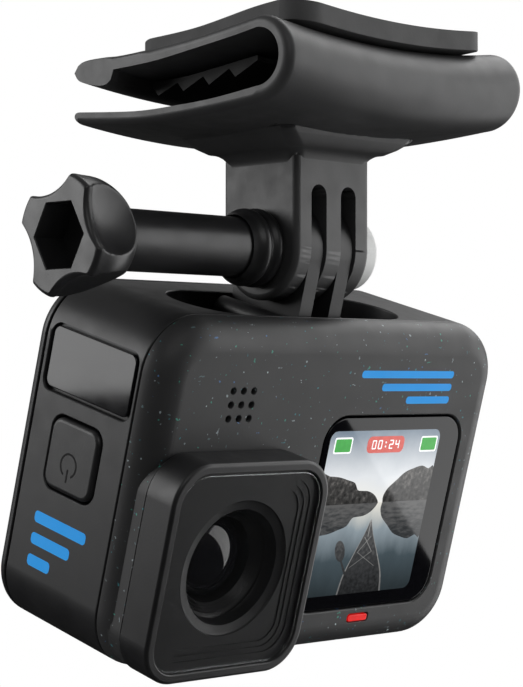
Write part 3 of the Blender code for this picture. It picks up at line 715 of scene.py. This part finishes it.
def make_housing():
    low, high = HOUSE_LOW[1], HOUSE_HIGH[1]
    edge = 0.22
    outer = [(low + way, inset) for way, inset in quarter_round(edge, (0, 30, 60, 90))]
    outer += [(high - y + low, inset) for y, inset in reversed(outer)]
    outer += [(high, WALL), (low, WALL)]
    housing = mesh_object("middle_casing", stack("Y", casing, outer, closed=True))

    # walls round the finger pocket, then the pocket
    length, width, depth = POCKET
    reach = length / 2 + 1.6
    block = [(-reach, low + 0.05), (reach, low + 0.05), (reach, 9.6), (-reach, 9.6)]
    carve(housing, prism("Z", block, TOP_Z - depth - 1.3, TOP_Z - 0.6), "UNION")
    pocket = inset_of(length, width, width / 2 - 0.02, count=24)
    carve(housing, recess("Z", pocket, TOP_Z, TOP_Z - depth, 0.25))

    speaker = face_of(*span("speaker_cover", CAMERA), 1, 2, 1.6, 1.0)
    carve(housing, recess("X", speaker, LEFT_X, LEFT_X + 0.9, 0.35))
    mode = face_of(*span("mode_button", CAMERA), 1, 2, 2.2, 2 * FIT)
    carve(housing, recess("X", mode, LEFT_X, LEFT_X + 4, 0.3))
    shutter = face_of(*span("shutter_button", CAMERA), 0, 1, 4.8, 2 * FIT)
    carve(housing, recess("Z", shutter, BASE_Z, BASE_Z + 4, 0.3))

    # opening for the battery door, with room for the door to turn about its pin
    low, high = span("battery_door", CAMERA)
    near, far = low[1] - FIT, high[1] + FIT
    gap = [(RIGHT_X - 6, near), (RIGHT_X + 2, near), (RIGHT_X + 2, far), (RIGHT_X - 6, far)]
    carve(housing, prism("Z", gap, DOOR_SILL_Z, high[2] + FIT))
    pin = centre_of(*span("door_hinge_pin", CAMERA), 0, 2)
    carve(housing, turned("Y", [(HINGE_RELIEF_R, near), (HINGE_RELIEF_R, far)], pin, 48))
    dress(housing, CAMERA, plastic, "camera", ["main_housing"])


def make_rear():
    low, high = REAR_LOW[1], REAR_HIGH[1]
    cover = mesh_object("rear_casing", plate("Y", casing, low, high, BACK_EDGE_R, 0.2))
    carve(cover, recess("Y", inset_of(57.6, 39.6, 4.3, BODY_X, MID_Z), high, high - 1.3, 0.3))
    carve(cover, prism("Y", rounded(50, 33, 3, BODY_X, MID_Z), low - 1, high))
    dress(cover, CAMERA, plastic, "camera", ["rear_cover"])
    screen = plate("Y", inset_of(57, 39, 4, BODY_X, MID_Z), high - 1.0, high, 0.25)
    piece("rear_screen_glass", screen, CAMERA, screen_black, "camera", ["rear_touchscreen"])


def make_side_controls():
    low, high = span("speaker_cover", CAMERA)
    panel = plate("X", face_of(low, high, 1, 2, 1.2), high[0], low[0], 0.18)
    piece("speaker_panel", panel, CAMERA, panel_gloss, "camera", ["speaker_cover"])

    low, high = span("mode_button", CAMERA)
    y, z = centre_of(low, high, 1, 2)
    button = plate("X", face_of(low, high, 1, 2, 2.0), high[0], low[0], 0.7)
    piece("power_button", button, CAMERA, plastic, "mode_button", ["mode_button"])
    # The power symbol is a near-black sheet just proud of the button face: painted shade in place of the
    # engraved recess.
    level = low[0] - 0.02
    centre = (y + 0.2, z - 1.0)
    sign = arc(*centre, 1.8, 1.8, -60, 240, 40) + arc(*centre, 1.5, 1.5, 240, -60, 40)
    icon = prism("X", sign, level, level + 0.1)
    stem = rounded(0.34, 2.0, 0.16, centre[0], centre[1] - 1.5, 4)
    prism("X", stem, level, level + 0.1, bm=icon)
    piece("power_symbol", icon, CAMERA, icon_painted_shade, "mode_button")

    low, high = span("shutter_button", CAMERA)
    outline = face_of(low, high, 0, 1, 4.5)
    shutter = mesh_object("record_button", plate("Z", outline, high[2], low[2], 0.6))
    outside, floor = low[2] - 1, low[2] + 0.25
    groove = [(outside, 1.3), (floor, 1.3), (floor, 1.7), (outside, 1.7)]
    carve(shutter, stack("Z", outline, groove, closed=True))
    dress(shutter, CAMERA, plastic, "shutter_button", ["shutter_button"])


def make_door():
    low, high = span("battery_door", CAMERA)
    y0, y1 = low[1], high[1]
    pin = centre_of(*span("door_hinge_pin", CAMERA), 0, 2)
    door = mesh_object("side_door", prism("Y", casing(0.0), y0, y1))
    carve(door, prism("Y", casing(2.0), y0 - 1, y1 + 1))
    inside, outside = RIGHT_X - 4.5, RIGHT_X + 2
    keep = [(inside, pin[1]), (outside, pin[1]), (outside, high[2]), (inside, high[2])]
    carve(door, prism("Y", keep, y0 - 1, y1 + 1), "INTERSECT")
    carve(door, turned("Y", [(1.6, y0), (1.6, y1)], pin, 48), "UNION")
    carve(door, turned("Y", [(PIN_HOLE_R, y0 - 1), (PIN_HOLE_R, y1 + 1)], pin, 32))
    latch_low, latch_high = span("door_latch", CAMERA)
    y, z = centre_of(latch_low, latch_high, 1, 2)
    window = inset_of(9.0, 9.0, 1.2, y, z + 1.0)
    carve(door, recess("X", window, RIGHT_X, RIGHT_X - 1.1, 0.2))
    dress(door, CAMERA, plastic, "battery_door", ["battery_door"])

    outline = face_of(latch_low, latch_high, 1, 2, 1.0)
    slider = mesh_object("latch_slider", plate("X", outline, latch_low[0], latch_high[0], 0.2))
    for i in range(4):
        rib = rounded(6.0, 0.5, 0.24, y, z - 1.8 + 1.2 * i, 4)
        carve(slider, prism("X", rib, latch_high[0] - 0.25, latch_high[0] + 1))
    dress(slider, CAMERA, plastic, "door_latch", ["door_latch"])


def make_fingers():
    foot = TOP_Z - POCKET[2] + FIT
    for name, side in (("left", -1), ("right", 1)):
        x = side * PRONG
        radius = span(f"mount_finger_{name}", CAMERA)[1][1]
        outline = arc(0, 0, radius, radius, 0, 180, 64) + [(-radius, foot), (radius, foot)]
        finger = mesh_object(f"hinge_finger_{name}", prism("X", outline, x - 1.3, x + 1.3))
        pin = centre_of(*span(f"finger_pin_{name}", CAMERA), 0, 2)
        near, far = sorted((x, pin[0]))
        step = [(near, -6.9), (far, -6.9), (far, 6.9), (near, 6.9)]
        carve(finger, prism("Z", step, foot + 0.1, foot + 2.4), "UNION")
        carve(finger, turned("Y", [(1.8, -6.8), (1.8, 6.8)], pin, 48), "UNION")
        carve(finger, turned("X", [(BORE_R, x - 3), (BORE_R, x + 3)], count=64))
        carve(finger, turned("Y", [(PIN_HOLE_R, -9), (PIN_HOLE_R, 9)], pin, 32))
        dress(finger, CAMERA, plastic, "camera", [f"mount_finger_{name}"], bevel=0.22,
              angle=42)


# ------------ lens

def make_lens():
    centre = (LENS_X, LENS_Z)
    ring = [(9.8, -4.6), (9.8, -13.9)] + [(9.3 + 0.5 * cos(radians(a)), -13.9 - 0.6 * sin(radians(a)))
                                          for a in (30, 60, 90)]
    ring += [(8.3, -14.5), (8.0, -14.3)]
    for i in range(4):
        r = 7.8 - 0.4 * i
        ring += [(r, -14.1 + 0.25 * i), (r - 0.25, -13.85 + 0.25 * i), (r - 0.3, -14.0 + 0.25 * i)]
    ring += [(6.25, -12.9), (6.25, -8.9), (4.2, -8.9), (4.2, -4.6), (9.8, -4.6)]
    piece("lens_ring", turned("Y", ring, centre, 128), CAMERA, inner, "camera",
          ["lens_barrel"])
    dome = [(6.0, -9.2)] + [(6.0 * cos(radians(a)), -11.2 - 2.4 * sin(radians(a))) for a in range(0, 90, 4)]
    dome.append((0.02, -13.6))
    piece("lens_dome", turned("Y", dome, centre, 128), CAMERA, lens_coat, "camera",
          ["front_element"])


def make_lens_cover():
    frame_of = inset_of(COVER_W, COVER_H, COVER_R, LENS_X, LENS_Z, 20)
    rim = mesh_object("cover_rim", plate("Y", frame_of, COVER_BACK_Y, COVER_Y, 0.55, 0.25))
    opening = inset_of(COVER_W - 2.9, COVER_H - 2.9, COVER_R - 1.45, LENS_X, LENS_Z, 20)
    carve(rim, recess("Y", opening, COVER_Y, COVER_Y + 0.8, 0.2))

    # three shallow steps down to the round throat
    steps = [(24.4, 25.8, 4.0, 0.95), (22.4, 24.2, 3.6, 1.1), (20.8, 22.6, 3.2, 1.25)]
    for width, height, radius, depth in steps:
        shelf = rounded(width, height, radius, LENS_X, LENS_Z, 20)
        carve(rim, prism("Y", shelf, COVER_Y - 1, COVER_Y + depth))
    floor = COVER_Y + 1.25
    throat = [(10.1, -10), (10.1, -14.75), (8.0, -14.75), (8.25, -15.2), (8.5, floor + 0.5),
              (9.7, floor + 0.3), (9.9, floor + 0.12), (10.0, floor - 0.1), (10.0, floor - 3)]
    carve(rim, turned("Y", throat, (LENS_X, LENS_Z), 128))
    dress(rim, CAMERA, cover_plastic, "lens_cover", ["lens_cover_frame"])
    pane = inset_of(COVER_W - 3.3, COVER_H - 3.3, COVER_R - 1.65, LENS_X, LENS_Z, 20)
    sheet = plate("Y", pane, COVER_Y + 0.6, COVER_Y + 0.12, 0.2)
    piece("cover_pane", sheet, CAMERA, pane_clear, "lens_cover", ["lens_cover_glass"])


# ------------ front display and marks

def flat(outline, level, bm=None):
    """A thin flat shape on a plane that faces forward."""
    return prism("Y", outline, level, level + LAYER, bm)


def screen_layer(name, outlines, mat, step):
    """Flat shapes of one colour, step layers in front of the glass."""
    bm = bmesh.new()
    for outline in outlines:
        flat(outline, DISPLAY_Y - LAYER * step, bm)
    piece(name, bm, CAMERA, mat, "camera")


def make_display():
    glass = plate("Y", face_of(GLASS_LOW, GLASS_HIGH, 0, 2, 4.0), GLASS_HIGH[1], DISPLAY_Y, 0.2)
    piece("display_panel", glass, CAMERA, screen_black, "camera", ["front_display_glass"])


def within(points):
    """Keep an outline inside the lit picture."""
    return [(min(max(a, PICTURE_LEFT), PICTURE_RIGHT), min(max(b, PICTURE_LOW), PICTURE_TOP))
            for a, b in points]


def make_landscape():
    """Water and sky between two ridges, with the ridges mirrored in the water."""
    left, right, bottom, top, horizon = PICTURE_LEFT, PICTURE_RIGHT, PICTURE_LOW, PICTURE_TOP, HORIZON
    water = painted("screen_water", [(0.0, (0.02, 0.03, 0.035)), (0.4, (0.06, 0.085, 0.10)),
                                     (0.72, (0.30, 0.36, 0.40)), (1.0, (0.90, 0.88, 0.80))],
                    bottom, horizon, 0.22, 0.85, 2.6, (1.0, 1.0, 0.3))
    sky = painted("screen_sky", [(0.0, (0.98, 0.97, 0.92)), (0.35, (0.86, 0.89, 0.92)),
                                 (1.0, (0.22, 0.28, 0.35))], horizon, top, 0.3, 0.9, 5.0)
    rock = painted("screen_rock", [(0.0, (0.015, 0.015, 0.015)), (0.45, (0.07, 0.068, 0.066)),
                                   (0.8, (0.22, 0.21, 0.20)), (1.0, (0.42, 0.40, 0.38))],
                   horizon - 4, top + 1, 1.5, 0.8, 0.7)
    echo = painted("screen_echo", [(0.0, (0.01, 0.012, 0.014)), (0.5, (0.04, 0.043, 0.046)),
                                   (1.0, (0.13, 0.13, 0.13))],
                   bottom + 4, horizon, 1.4, 0.8, 0.9, (0.6, 1.0, 2.0))

    picture = rounded(right - left, top - bottom, 1.4, (left + right) / 2, (top + bottom) / 2, 8)
    screen_layer("view_water", [picture], water, 1)
    upper = [point for point in picture if point[1] > horizon] + [(left, horizon), (right, horizon)]
    screen_layer("view_sky", [upper], sky, 2)
    far_left = [(left, horizon), (left, -31.0), (3.5, -31.1), (5.6, -31.3), (7.6, -31.8), (9.3, -32.3),
                (10.2, -33.4), (11.2, -33.6), (12.6, -33.7), (14.0, -34.2), (15.0, -35.0), (15.4, horizon)]
    far_right = [(16.4, horizon), (16.3, -34.6), (17.0, -33.4), (18.6, -32.2), (20.2, -31.0), (22.0, -30.4),
                 (24.0, -30.0), (25.6, -30.5), (right, -30.3), (right, horizon)]

    def in_water(points, depth):
        return [(a, horizon - (b - horizon) * depth) for a, b in reversed(points)]

    ridges = [far_left, far_right]
    echoes = [in_water(far_left, 1.05), in_water(far_right, 1.1)]
    screen_layer("view_ridges", [within(smooth_line(ridge, 3)) for ridge in ridges], rock, 3)
    screen_layer("view_reflections", [within(smooth_line(ridge, 3)) for ridge in echoes], echo, 4)


def make_boat():
    """Bow of a narrow boat with its paddle and deck cords."""
    bottom = PICTURE_LOW
    hull = painted("screen_hull", [(0.0, (0.012, 0.013, 0.014)), (0.5, (0.05, 0.052, 0.055)),
                                   (1.0, (0.16, 0.16, 0.16))], bottom, HORIZON - 2, 0.9, 0.8, 0.6)
    trim = painted("screen_trim", [(0.0, (0.16, 0.16, 0.16)), (1.0, (0.40, 0.40, 0.39))],
                   bottom, HORIZON - 2, 0.9, 0.8, 0.5)

    def bow_shape(width, tip):
        half = [(0.0, tip), (1.1 * width, -40.8), (2.9 * width, -43.8), (4.6 * width, -47.0),
                (5.3 * width, bottom)]
        right_side = smooth_line([(14.8 + a, b) for a, b in half], 5)
        left_side = smooth_line([(14.6 - 0.85 * a, b) for a, b in reversed(half)], 5)
        return right_side + left_side[:-1]

    turns = [tau * i / 20 for i in range(20)]
    blade = [(9.0 + 1.1 * cos(a) - 0.5 * sin(a), -43.0 + 1.7 * sin(a)) for a in turns]
    shaft = [(9.3, -44.3), (9.6, -44.2), (13.4, -49.6), (13.3, bottom), (12.9, bottom)]
    screen_layer("view_kayak", [bow_shape(1.0, -38.2)], trim, 5)
    screen_layer("view_deck", [bow_shape(0.93, -38.6), blade, shaft], hull, 6)
    lines = [((14.0, -41.0), (16.2, -43.4)), ((15.4, -41.0), (13.0, -43.4)), ((13.0, -43.4), (17.4, -45.8)),
             ((16.2, -43.4), (11.8, -45.8)), ((14.7, -38.8), (14.7, -41.0))]
    half = 0.07
    cords = [[(a - half, b), (a + half, b), (c + half, d), (c - half, d)] for (a, b), (c, d) in lines]
    screen_layer("view_fittings", cords, trim, 7)


def make_readout():
    """Two charge marks and a counter on a red pill."""
    pale = glowing("screen_white", (0.78, 0.80, 0.80), 0.85)
    green = glowing("screen_green", (0.03, 0.30, 0.04), 0.75)
    pill_red = glowing("screen_red", (0.50, 0.085, 0.07), 0.85)
    pill = (14.4, -26.4)
    icons = [(4.95, -26.4), (24.35, -26.5)]
    screen_layer("view_icons", [rounded(3.9, 2.5, 0.35, *icon, 4) for icon in icons], pale, 8)
    screen_layer("view_charge", [rounded(3.4, 2.0, 0.2, *icon, 4) for icon in icons], green, 9)
    screen_layer("view_timer", [rounded(8.3, 2.6, 0.9, *pill, 8)], pill_red, 9)

    # counter digits, drawn as up to seven bars each
    bars = {"0": "abcdef", "2": "abged", "4": "fgbc"}
    spots = {"a": (0, 0.62, 0), "b": (0.36, 0.31, 1), "c": (0.36, -0.31, 1), "d": (0, -0.62, 0),
             "e": (-0.36, -0.31, 1), "f": (-0.36, 0.31, 1), "g": (0, 0, 0)}
    shapes = []
    for place, digit in zip((-2.6, -1.25, 1.25, 2.6), "0024"):
        for bar in bars[digit]:
            dx, dz, upright = spots[bar]
            size = (0.2, 0.66) if upright else (0.76, 0.2)
            shapes.append(rounded(*size, 0.05, pill[0] + place + dx, pill[1] + dz, 2))
    shapes += [circle(0.16, 10, pill[0], pill[1] + dz) for dz in (-0.32, 0.32)]
    screen_layer("view_counter", shapes, pale, 10)


def make_marks():
    """Plain blue printed stripes on the front and the left side; their glow is painted light."""
    proud = 0.012
    bm = bmesh.new()
    for z, start, end in ((-15.5, 5.9, 26.9), (-17.5, 10.9, 26.9), (-19.5, 16.9, 26.9)):
        flat(rounded(end - start, 1.15, 0.5, (start + end) / 2, z, 6), FRONT_Y - proud, bm)
    piece("front_stripes", bm, CAMERA, mark_blue, "camera")
    bm = bmesh.new()
    for z, start, end in ((-42.0, -3.0, 8.4), (-45.2, -0.2, 8.4), (-48.4, 3.4, 8.4)):
        stripe = rounded(end - start, 1.7, 0.6, (start + end) / 2, z, 6)
        prism("X", stripe, LEFT_X - proud, LEFT_X + 0.01, bm)
    piece("side_stripes", bm, CAMERA, mark_blue, "camera")


# ------------ materials of the nodes that stay

def finish_nodes():
    """Materials for the CAD nodes that no drawn piece replaces."""
    looks = [
        (teeth_rubber, ["grip_teeth"]),
        (rubber, ["door_seal"]),
        (steel, ["screw_shaft", "finger_pin_left", "finger_pin_right", "door_hinge_pin", "usb_port",
                 "heat_sink"]),
        (steel, [f"housing_screw_{i}" for i in range(1, 5)]),
        (lens_coat, ["rear_lens_group"]),
        (inner, ["lens_holder", "front_display", "rear_display", "speaker", "mode_switch", "shutter_switch",
                 "front_microphone", "memory_card"]),
        (board_green, ["main_board", "sensor_board"]),
        (sensor_tint, ["image_sensor"]),
        (battery_blue, ["battery"]),
    ]
    for mat, nodes in looks:
        for node in nodes:
            NODES[node].data.materials.clear()
            NODES[node].data.materials.append(mat)


# ------------ studio

def area_light(name, place, target, size, radiance):
    """Rectangular softbox facing target; places and sizes in metres."""
    data = bpy.data.lights.new(name, "AREA")
    data.shape = "RECTANGLE"
    data.size, data.size_y = size
    data.energy = radiance * size[0] * size[1] * pi
    obj = bpy.data.objects.new(name, data)
    bpy.context.scene.collection.objects.link(obj)
    aim = (Vector(target) - Vector(place)).to_track_quat("-Z", "Y").to_matrix().to_4x4()
    obj.matrix_world = Matrix.Translation(place) @ aim
    return obj


def mirrored(point):
    """Where the viewer sees a point of the front glass mirror the studio, at the softbox's distance."""
    spot = CAMERA @ (Vector(point) * MM)
    normal = CAMERA.to_3x3() @ Vector((0, -1, 0))
    return spot + (spot - VIEWER).normalized().reflect(normal) * SOFTBOX_DISTANCE


def make_lights():
    """The front softbox ends where its edge is seen slanting across the front glass."""
    middle = Vector((0, 0, -0.04))
    start = mirrored((4.6, GLASS_LOW[1], -22.3))
    end = mirrored((30.6, GLASS_LOW[1], -45.5))
    along_edge = (end - start).normalized()
    centre = (start + end) / 2
    upward = along_edge.cross(centre - middle).normalized()
    if upward.z < 0:
        upward = -upward
    width, height = 1.3, 0.85
    front = area_light("softbox_front", centre, middle, (width, height), 2.35)
    turn = Matrix((along_edge, upward, along_edge.cross(upward))).transposed().to_4x4()
    front.matrix_world = Matrix.Translation(centre + upward * height / 2) @ turn
    area_light("softbox_side", (-0.56, 0.66, 0.24), middle, (0.5, 0.6), 4.0)
    area_light("softbox_top", (0.66, 0.0, 0.56), middle, (0.8, 0.8), 2.6)
    area_light("key", (-0.55, -0.75, 0.55), middle, (0.5, 0.5), 1.3)


def make_world():
    """Dim sky, lighter overhead, that the camera itself sees as plain white."""
    world = bpy.data.worlds.new("studio")
    bpy.context.scene.world = world
    world.use_nodes = True
    tree = world.node_tree
    where = tree.nodes.new("ShaderNodeTexCoord")
    parts = tree.nodes.new("ShaderNodeSeparateXYZ")
    shift = tree.nodes.new("ShaderNodeMapRange")
    shift.inputs["From Min"].default_value = -1
    ramp = tree.nodes.new("ShaderNodeValToRGB")
    for stop, position, grey in zip(ramp.color_ramp.elements, (0.35, 0.8), (0.01, 0.22)):
        stop.position = position
        stop.color = (grey, grey, grey, 1)
    path = tree.nodes.new("ShaderNodeLightPath")
    mix = tree.nodes.new("ShaderNodeMix")
    mix.data_type = "RGBA"
    sky, white = [i for i in mix.inputs if i.name in ("A", "B") and i.type == "RGBA"]
    white.default_value = (1, 1, 1, 1)
    tree.links.new(where.outputs["Generated"], parts.inputs["Vector"])
    tree.links.new(parts.outputs["Z"], shift.inputs["Value"])
    tree.links.new(shift.outputs["Result"], ramp.inputs["Fac"])
    tree.links.new(ramp.outputs["Color"], sky)
    tree.links.new(path.outputs["Is Camera Ray"], mix.inputs["Factor"])
    result = [o for o in mix.outputs if o.type == "RGBA"][0]
    tree.links.new(result, tree.nodes["Background"].inputs["Color"])


def make_floor():
    bm = bmesh.new()
    bmesh.ops.create_circle(bm, cap_ends=True, segments=96, radius=0.6)
    floor = mesh_object("floor", bm)
    floor.location.z = -0.3
    g = Graph("floor_paint")
    tone = g.ramp(g.noise(180.0, 3.0), [(0.3, (0.80, 0.80, 0.80)), (0.7, (0.84, 0.84, 0.84))])
    g.feed("Base Color", tone)
    g.set(Roughness=0.8)
    floor.data.materials.append(g.material)
    floor.visible_glossy = False


def make_camera():
    """Standing off the front left, nearly level, with the long lens of a product photograph."""
    data = bpy.data.cameras.new("photo_camera")
    data.lens = 109.33
    data.sensor_width = 36
    data.clip_start = 0.02
    camera = bpy.data.objects.new("photo_camera", data)
    bpy.context.scene.collection.objects.link(camera)
    right = Vector((0.7039, -0.7101, 0.0005))
    up = Vector((-0.0136, -0.0127, 0.9998))
    back = Vector((-0.71, -0.7038, -0.0186))
    turn = Matrix((right, up, back)).transposed().to_4x4()
    camera.matrix_world = Matrix.Translation(VIEWER) @ turn
    bpy.context.scene.camera = camera
    bpy.context.scene.view_settings.view_transform = "Standard"


make_clip()
make_pad()
make_nut()
make_knob()
make_collar()
make_front_shell()
make_housing()
make_rear()
make_side_controls()
make_door()
make_fingers()
make_lens()
make_lens_cover()
make_display()
make_landscape()
make_boat()
make_readout()
make_marks()
finish_nodes()
make_lights()
make_world()
make_floor()
make_camera()
